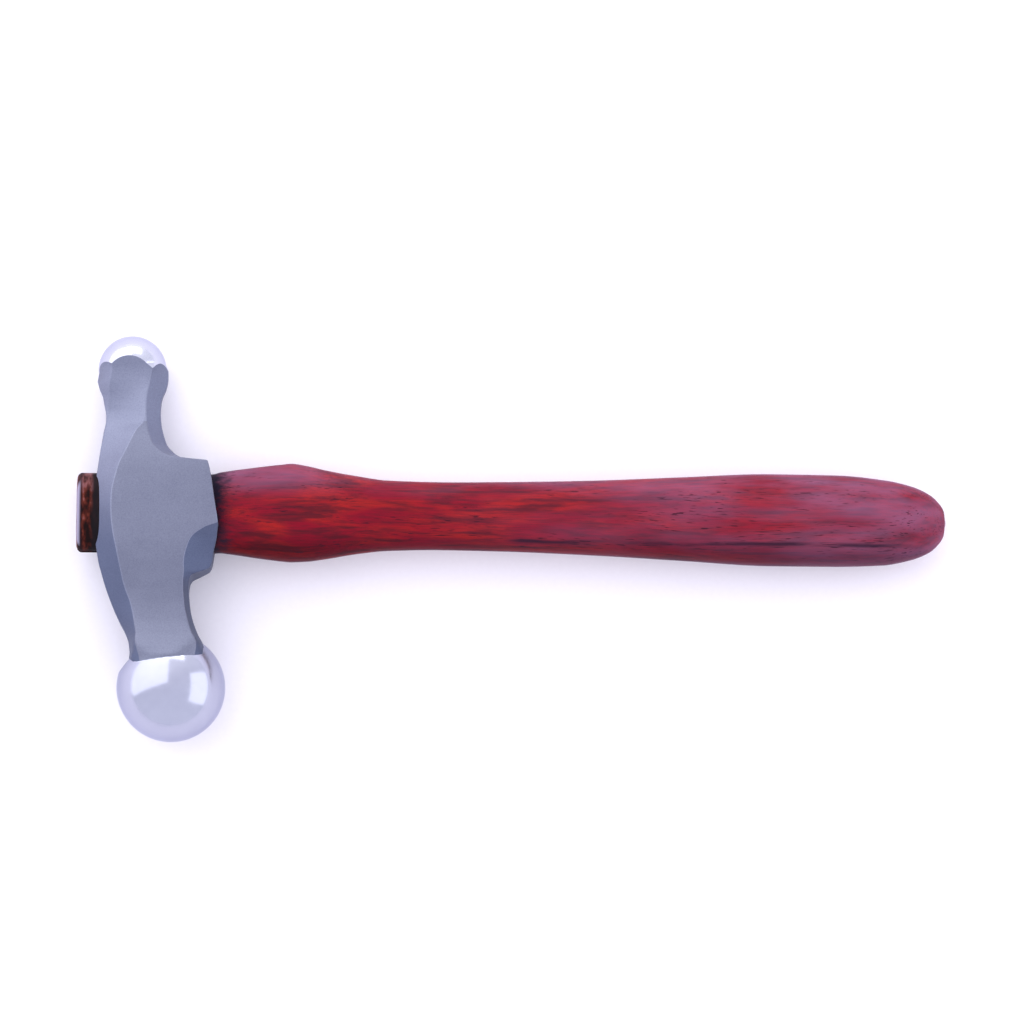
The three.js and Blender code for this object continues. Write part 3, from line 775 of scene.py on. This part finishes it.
def streaked_red(n, grain, fibre, x):
    """Crimson and orange-red patches, dark streaks and fibres, all drawn out along the handle."""
    patch = n.stretched(grain, (0.045, 0.20, 0.20), 2, 0.5, offset=(3, 5, 1))
    streak = n.stretched(grain, (0.055, 0.62, 0.62), 4, 0.6, offset=(7, 3, 1))
    orange = n.times(n.span(patch, 0.40, 0.64, smooth=True), n.span(x, 50, 150, 1.0, 0.4))
    color = n.mix(orange, CRIMSON, ORANGE_RED)
    dark = n.times(n.span(streak, 0.46, 0.66, smooth=True), 0.85)
    color = n.mix(dark, color, DARK_STREAK)
    return n.mix(n.span(fibre, 0.42, 0.72, 0.0, 0.72), color, DARK_FIBRE)


def haze_and_sheen(n, color, mm):
    """Wear toward the grip where hands polished the wood, and painted sheen on the lit side and the
    grip's end.
    """
    x, y, _ = n.split(mm)
    clouds = n.stretched(mm, (0.03, 0.12, 0.12), 3, 0.55, offset=(8, 8, 8))
    # Wear toward the grip, and painted sheen on the lit side toward the dome.
    haze_and_sheen_share = n.plus(n.span(x, 60, 165), n.span(y, 3, 11, 0.0, 1.1))
    # Painted sheen on the lit side near the head.
    haze_and_sheen_share = n.plus(haze_and_sheen_share, n.times(n.span(x, 14, 50, 0.55, 0.0), n.span(y, 1, 10)))
    # Painted sheen round the grip's end.
    haze_and_sheen_share = n.plus(haze_and_sheen_share, n.span(x, 146, 170, 0.0, 0.25))
    haze_and_sheen_share = n.times(haze_and_sheen_share, n.span(clouds, 0.36, 0.64, 0.08, 0.46))
    return n.mix(haze_and_sheen_share, color, HAZE_AND_SHEEN_TONE)


def crowded_pores(n, grain):
    """Open pores, short and long, in loose crowds."""
    short = n.span(n.stretched(grain, (0.30, 3.6, 3.6), 1, 0.4, offset=(1, 2, 3)), 0.63, 0.71)
    long = n.span(n.stretched(grain, (0.16, 1.7, 1.7), 2, 0.5, offset=(5, 7, 2)), 0.64, 0.74)
    crowd = n.stretched(grain, (0.05, 0.3, 0.3), 2, 0.5, offset=(4, 4, 4))
    short = n.times(short, n.span(crowd, 0.44, 0.56))
    long = n.times(long, n.span(crowd, 0.48, 0.60))
    return n.math("MAXIMUM", short, long)


def long_line(n, color, mm):
    """One long dark line low on the side that is seen, with breaks in it."""
    x, y, z = n.split(mm)
    waver = n.swing(n.stretched(mm, (0.03, 0, 0), 2, 0.5), 2.4)
    off = n.math("ABSOLUTE", n.plus(n.plus(y, 5.9), waver))
    breaks = n.stretched(mm, (0.09, 0.4, 0.4), 2, 0.5, offset=(6, 1, 6))
    line = n.span(off, 0.1, 0.75, 1.0, 0.0, smooth=True)
    line = n.times(line, n.span(breaks, 0.36, 0.6, 0.1, 0.8))
    line = n.times(line, n.times(n.span(x, 60, 85), n.span(x, 168, 180, 1.0, 0.0)))
    line = n.times(line, n.span(z, 0, 2))
    return n.mix(line, color, LONG_LINE)


def bruise(n, color, mm):
    """A small bruise on the grip."""
    spot = n.mapped((1.0, 0.55, 0.0), offset=(-138.1, -1.4, 0), angle=(0, 0, 0.25), start=mm)
    share = n.span(n.vector("LENGTH", spot)["Value"], 0.3, 1.5, 0.55, 0.0, smooth=True)
    share = n.times(share, n.span(n.split(mm)[2], 0, 1))
    return n.mix(share, color, BRUISE)


def grime_and_shade(n, color, mm):
    """Finish and dirt that have gathered against the head, and painted shade where the handle meets it,
    with a ragged edge.
    """
    ragged = n.swing(n.stretched(mm, (0.3, 0.7, 0.7), 3, 0.6, offset=(9, 2, 9)), 9.0)
    edge = n.plus(n.split(mm)[0], ragged)
    # Dirt and painted shade, darkest against the head.
    return n.mix(n.span(edge, 13.2, 18.6, 0.97, 0.0, smooth=True), color, GRIME_AND_SHADE)


def end_grain(n, mm):
    """The tenon's end face: growth rings and dark dots."""
    rings = n.stretched(mm, (0.1, 0.9, 2.2), 3, 0.55, offset=(2, 4, 7))
    dots = n.stretched(mm, (0.5, 3.2, 3.2), 2, 0.5, offset=(5, 1, 8))
    color = n.mix(n.span(rings, 0.35, 0.65), *END_GRAIN_TONES)
    return n.mix(n.span(dots, 0.56, 0.68), color, END_GRAIN_DOT)


def sealed_stub(n, mm):
    """The tenon's stub: mottled brown sealed wood, with painted light and shade and a painted highlight
    round its end.
    """
    x, y, z = n.split(mm)
    from_end = n.plus(x, TENON_BACK)
    mottle = n.stretched(mm, (0.9, 0.38, 0.38), 3, 0.5, offset=(3, 1, 2))
    # Painted light: the mottle lightens toward the dome.
    mottle = n.plus(mottle, n.times(y, 0.011))
    # A painted highlight on the stub's upper side.
    top = n.times(n.span(y, 4.5, 8.5, 0.0, 0.55), n.span(mottle, 0.4, 0.7))
    color = n.mix(top, n.ramp(mottle, SEALED_STOPS), TOP_HIGHLIGHT_TONE)
    color = n.mix(n.span(from_end, 1.1, 1.6, 0.75, 0.0), color, SEALED_SHADOW)
    color = n.mix(n.span(from_end, 0.1, 0.4, 1.0, 0.0), color, end_grain(n, mm))
    # A painted highlight round the stub's end, clear of the end face.
    rim = n.times(n.span(from_end, 0.5, 1.05, 0.85, 0.0), n.span(n.math("ABSOLUTE", z), 3.6, 4.3))
    rim = n.times(rim, n.span(from_end, 0.04, 0.16))
    color = n.mix(rim, color, END_HIGHLIGHT_TONE)
    # Painted shade where the stub goes into the eye.
    return n.mix(n.span(from_end, 2.9, 4.2, 0.0, 0.95, smooth=True), color, SHADE_AT_THE_EYE)


def hardwood():
    """Red hardwood: hazy toward the grip, painted sheen above, painted shade below and at the head, dirt,
    a sealed tenon.
    """
    n = Nodes("red_hardwood")
    mm = n.from_eye()
    x, y, _ = n.split(mm)
    grain = swaying_grain(n, mm)
    fibre = n.stretched(grain, (0.16, 2.6, 2.6), 4, 0.65, offset=(2, 9, 4))
    pores = crowded_pores(n, grain)
    color = haze_and_sheen(n, streaked_red(n, grain, fibre, x), mm)
    # Painted shade: darker on the underside, toward the ball.
    color = n.shaded(n.span(y, -9.5, -3.5, 1.0, 0.0, smooth=True), color, PAINTED_UNDERSIDE_SHADE)
    color = n.mix(n.times(pores, 0.8), color, PORE)
    color = grime_and_shade(n, bruise(n, long_line(n, color, mm), mm), mm)
    color = n.mix(n.span(x, -6, -5, 1.0, 0.0), color, sealed_stub(n, mm))
    height = n.math("SUBTRACT", n.times(fibre, 0.25), pores)
    return n.surface(
        color,
        n.span(fibre, 0.3, 0.7, 0.42, 0.55),
        n.bump(height, 0.25, 0.00006),
        Specular_IOR_Level=0.04,
        Sheen_Weight=0.16,
        Sheen_Roughness=0.22,
        Sheen_Tint=SHEEN_TINT,
    )


def wedge_wood():
    """Plain brown wood with growth rings and dark specks."""
    n = Nodes("wedge_wood")
    mm = n.mapped((MM_PER_METRE,) * 3)
    rings = n.stretched(mm, (0.1, 1.2, 3.0), 4, 0.6)
    specks = n.stretched(mm, (1, 4, 4), 3, 0.6)
    color = n.mix(n.span(rings, 0.3, 0.7), *WEDGE_WOOD_TONES)
    color = n.mix(n.span(specks, 0.55, 0.75), color, WEDGE_WOOD_SPECK)
    return n.surface(color, n.span(specks, 0.3, 0.7, 0.5, 0.7), n.bump(specks, 0.3, 0.00008))


def wedge_steel():
    """Dull filed steel with a little rust."""
    n = Nodes("wedge_steel")
    files = n.stretched(n.place, (6000, 300, 900), 2, 0.5)
    rust = n.stretched(n.place, (500, 500, 500), 4, 0.65)
    color = n.mix(n.span(rust, 0.5, 0.75), WEDGE_STEEL, WEDGE_RUST)
    return n.surface(color, n.span(files, 0.3, 0.7, 0.35, 0.6), n.bump(files, 0.3, 0.00003), Metallic=0.9)


def paper():
    """White seamless paper. Rays from the camera and mirror rays see it lit as background."""
    n = Nodes("paper")
    fibres = n.noise(n.place, 900, 3, 0.6)
    color = n.mix(n.span(fibres, 0.3, 0.7), *PAPER_TONES)
    n.surface(color, 0.9, n.bump(fibres, 0.05, 0.00005))
    path = n.add("ShaderNodeLightPath")
    seen = n.math("MAXIMUM", path.outputs["Is Camera Ray"], path.outputs["Is Glossy Ray"])
    seen = n.math("MAXIMUM", seen, path.outputs["Is Transmission Ray"])
    glow = n.add("ShaderNodeEmission")
    glow.inputs["Color"].default_value = PAPER_GLOW
    n.put(n.times(seen, PAPER_GLOW_STRENGTH), glow.inputs["Strength"])
    both = n.add("ShaderNodeAddShader")
    n.wire(n.shader.outputs["BSDF"], both.inputs[0])
    n.wire(glow.outputs["Emission"], both.inputs[1])
    n.wire(both.outputs["Shader"], n.out.inputs["Surface"])
    return n.material


def hammer_head():
    """The ground body within what the lathe leaves, with the ball joined and the eye cut."""
    satin = satin_steel("satin_steel", SATIN_TONES, shade_share=0.0)
    # The bevels: a lit and a shaded copy of one steel, as painted light.
    lit_back_bevels = satin_steel("lit_back_bevel_steel", LIT_BACK_BEVEL_TONES, shade_share=1.0)
    shaded_front_bevels = satin_steel("shaded_front_bevel_steel", SHADED_FRONT_BEVEL_TONES, shade_share=0.95)
    # A painted highlight along the cheeks' edges.
    edge_highlight = satin_steel("edge_highlight_steel", EDGE_HIGHLIGHT_TONES, shade_share=0.3)
    # One polish in a shaded copy for the ball and a lit copy for the dome, as painted light.
    shaded_ball_finish = polished_steel("shaded_ball_polish", ball_y, SHADED_BALL_TONES)
    lit_dome_finish = polished_steel("lit_dome_polish", dome_y, LIT_DOME_TONES)
    head = ground_body((satin, lit_back_bevels, edge_highlight, shaded_front_bevels))
    head = combine(head, set_material(turned_limit(), lit_dome_finish), "INTERSECT")
    head = combine(head, set_material(large_ball(), shaded_ball_finish), "UNION")
    head = combine(head, set_material(eye_cutter(), satin), "DIFFERENCE")
    return finish_piece(head, "hammer_head", "head")


def hammer_handle():
    """The handle with its kerf and cross slot. The photograph shows none of it in the ball."""
    wood = hardwood()
    handle = set_material(whole_handle(), wood)
    handle = combine(handle, set_material(kerf_tool(), wood), "DIFFERENCE")
    handle = combine(handle, set_material(slot_tool(), wood), "DIFFERENCE")
    handle.visible_glossy = False
    return finish_piece(handle, "hammer_handle", "handle")


def tenon_wedge():
    """The wooden wedge in the kerf, split by the slot for the steel wedge."""
    wood = wedge_wood()
    wedge = set_material(wedge_blank(), wood)
    wedge = combine(wedge, set_material(slot_tool(), wood), "DIFFERENCE")
    return finish_piece(wedge, "tenon_wedge", "kerf_wedge")


def cross_wedge():
    """The small steel wedge across the wooden one."""
    wedge = taper("cross_wedge", STEEL_LENGTH, STEEL_HEAD, STEEL_TIP, STEEL_WIDTH, 0.0, True)
    set_material(wedge, wedge_steel())
    return finish_piece(wedge, "cross_wedge", "steel_wedge")


# The studio, in metres. The sky is plain, and brightest toward one side.
FLOOR_REACH = 12.0
SKY_BRIGHT_SIDE = Vector((-0.15, 0.97, 0.15)).normalized()
SKY_STOPS = [
    (0.0, tone(1.19, 1.20, 1.37)),
    (0.5, tone(1.12, 1.13, 1.29)),
    (0.72, tone(1.18, 1.18, 1.33)),
    (1.0, tone(1.50, 1.50, 1.60)),
]


def studio_floor():
    """A wide sheet of paper at the height on which the hammer lies."""
    r = FLOOR_REACH
    mesh = bpy.data.meshes.new("floor")
    mesh.from_pydata([(-r, -r, 0), (r, -r, 0), (r, r, 0), (-r, r, 0)], [], [(0, 1, 2, 3)])
    floor = set_material(link("floor", mesh), paper())


def studio_sky():
    """A soft sky whose light changes a little from one side to the other."""
    world = bpy.data.worlds.new("studio")
    bpy.context.scene.world = world
    world.use_nodes = True
    nodes, links = world.node_tree.nodes, world.node_tree.links
    nodes.clear()
    coordinate = nodes.new("ShaderNodeTexCoord")
    toward = nodes.new("ShaderNodeVectorMath")
    toward.operation = "DOT_PRODUCT"
    toward.inputs[1].default_value = SKY_BRIGHT_SIDE
    share = nodes.new("ShaderNodeMapRange")
    share.inputs["From Min"].default_value = -1.0
    share.inputs["From Max"].default_value = 1.0
    ramp = nodes.new("ShaderNodeValToRGB")
    set_stops(ramp, SKY_STOPS)
    sky = nodes.new("ShaderNodeBackground")
    sky.inputs["Strength"].default_value = 1.0
    result = nodes.new("ShaderNodeOutputWorld")
    links.new(coordinate.outputs["Generated"], toward.inputs[0])
    links.new(toward.outputs["Value"], share.inputs["Value"])
    links.new(share.outputs["Result"], ramp.inputs["Fac"])
    links.new(ramp.outputs["Color"], sky.inputs["Color"])
    links.new(sky.outputs["Background"], result.inputs["Surface"])


def soft_box(name, place, size, power, facing=None, along=None):
    """A rectangular lamp of so many watts at this place, which looks back along facing."""
    lamp = bpy.data.lights.new(name, "AREA")
    lamp.shape = "RECTANGLE"
    lamp.size, lamp.size_y = size
    lamp.energy = power
    item = bpy.data.objects.new(name, lamp)
    bpy.context.scene.collection.objects.link(item)
    back = Vector(facing or place).normalized()
    across = Vector(along) if along else Vector((0, 0, 1)).cross(back)
    across = (across - back * across.dot(back)).normalized()
    turned_to = Matrix((across, back.cross(across), back)).transposed()
    item.matrix_world = Matrix.Translation(place) @ turned_to.to_4x4()


# The camera, in pixels and millimetres of the photograph. It is a long lens from almost straight
# above, and it is rolled a little so that the handle drops.
FOCAL_PX = 10400.0
LENGTH_MM, LENGTH_PX = 203.2, 868.8
EYE_PX = (157.5, 513.55)
IMAGE_PX = 1024
ROLL = math.radians(0.73)
TILT = math.radians(7.65)
SENSOR_MM = 36.0
CLIP_START, CLIP_END = 0.1, 20.0


def photo_camera():
    """The camera at the photograph's viewing angle, with the eye's centre at its pixel."""
    mm_per_px = LENGTH_MM / LENGTH_PX
    level_up = Vector((0, math.cos(TILT), math.sin(TILT)))
    back = Vector((0, -math.sin(TILT), math.cos(TILT)))
    right = Vector((math.cos(ROLL), 0, 0)) + level_up * math.sin(ROLL)
    upward = level_up * math.cos(ROLL) - Vector((math.sin(ROLL), 0, 0))
    middle = IMAGE_PX / 2
    reach = middle - EYE_PX[0]
    drop = (EYE_PX[1] - middle) + reach * math.tan(ROLL)
    target = Vector((reach, 0, 0)) * mm_per_px + upward * drop * mm_per_px
    station = target + back * FOCAL_PX * mm_per_px
    lens = bpy.data.cameras.new("camera")
    lens.sensor_width = SENSOR_MM
    lens.lens = FOCAL_PX * SENSOR_MM / IMAGE_PX
    lens.clip_start, lens.clip_end = CLIP_START, CLIP_END
    camera = bpy.data.objects.new("camera", lens)
    bpy.context.scene.collection.objects.link(camera)
    spin = turn @ Matrix((right, upward, back)).transposed()
    camera.matrix_world = Matrix.Translation(LYING @ station) @ spin.to_4x4()
    bpy.context.scene.camera = camera


hammer_head()
hammer_handle()
tenon_wedge()
cross_wedge()

studio_floor()
studio_sky()
soft_box(
    "box_left",
    place=(-0.95, 0.465, 0.32),
    size=(2.05, 1.45),
    power=8.4,
    facing=(-0.62, 0.42, 0.66),
    along=(0.782, 0.291, 0.549),
)
soft_box("box_right", place=(0.80, -0.04, 0.40), size=(1.05, 0.76), power=2.3)
soft_box("box_back", place=(-0.08, 0.62, 0.20), size=(0.54, 0.30), power=1.0, facing=(0.0, 0.6, 0.8))
photo_camera()
bpy.context.scene.view_settings.view_transform = "Standard"
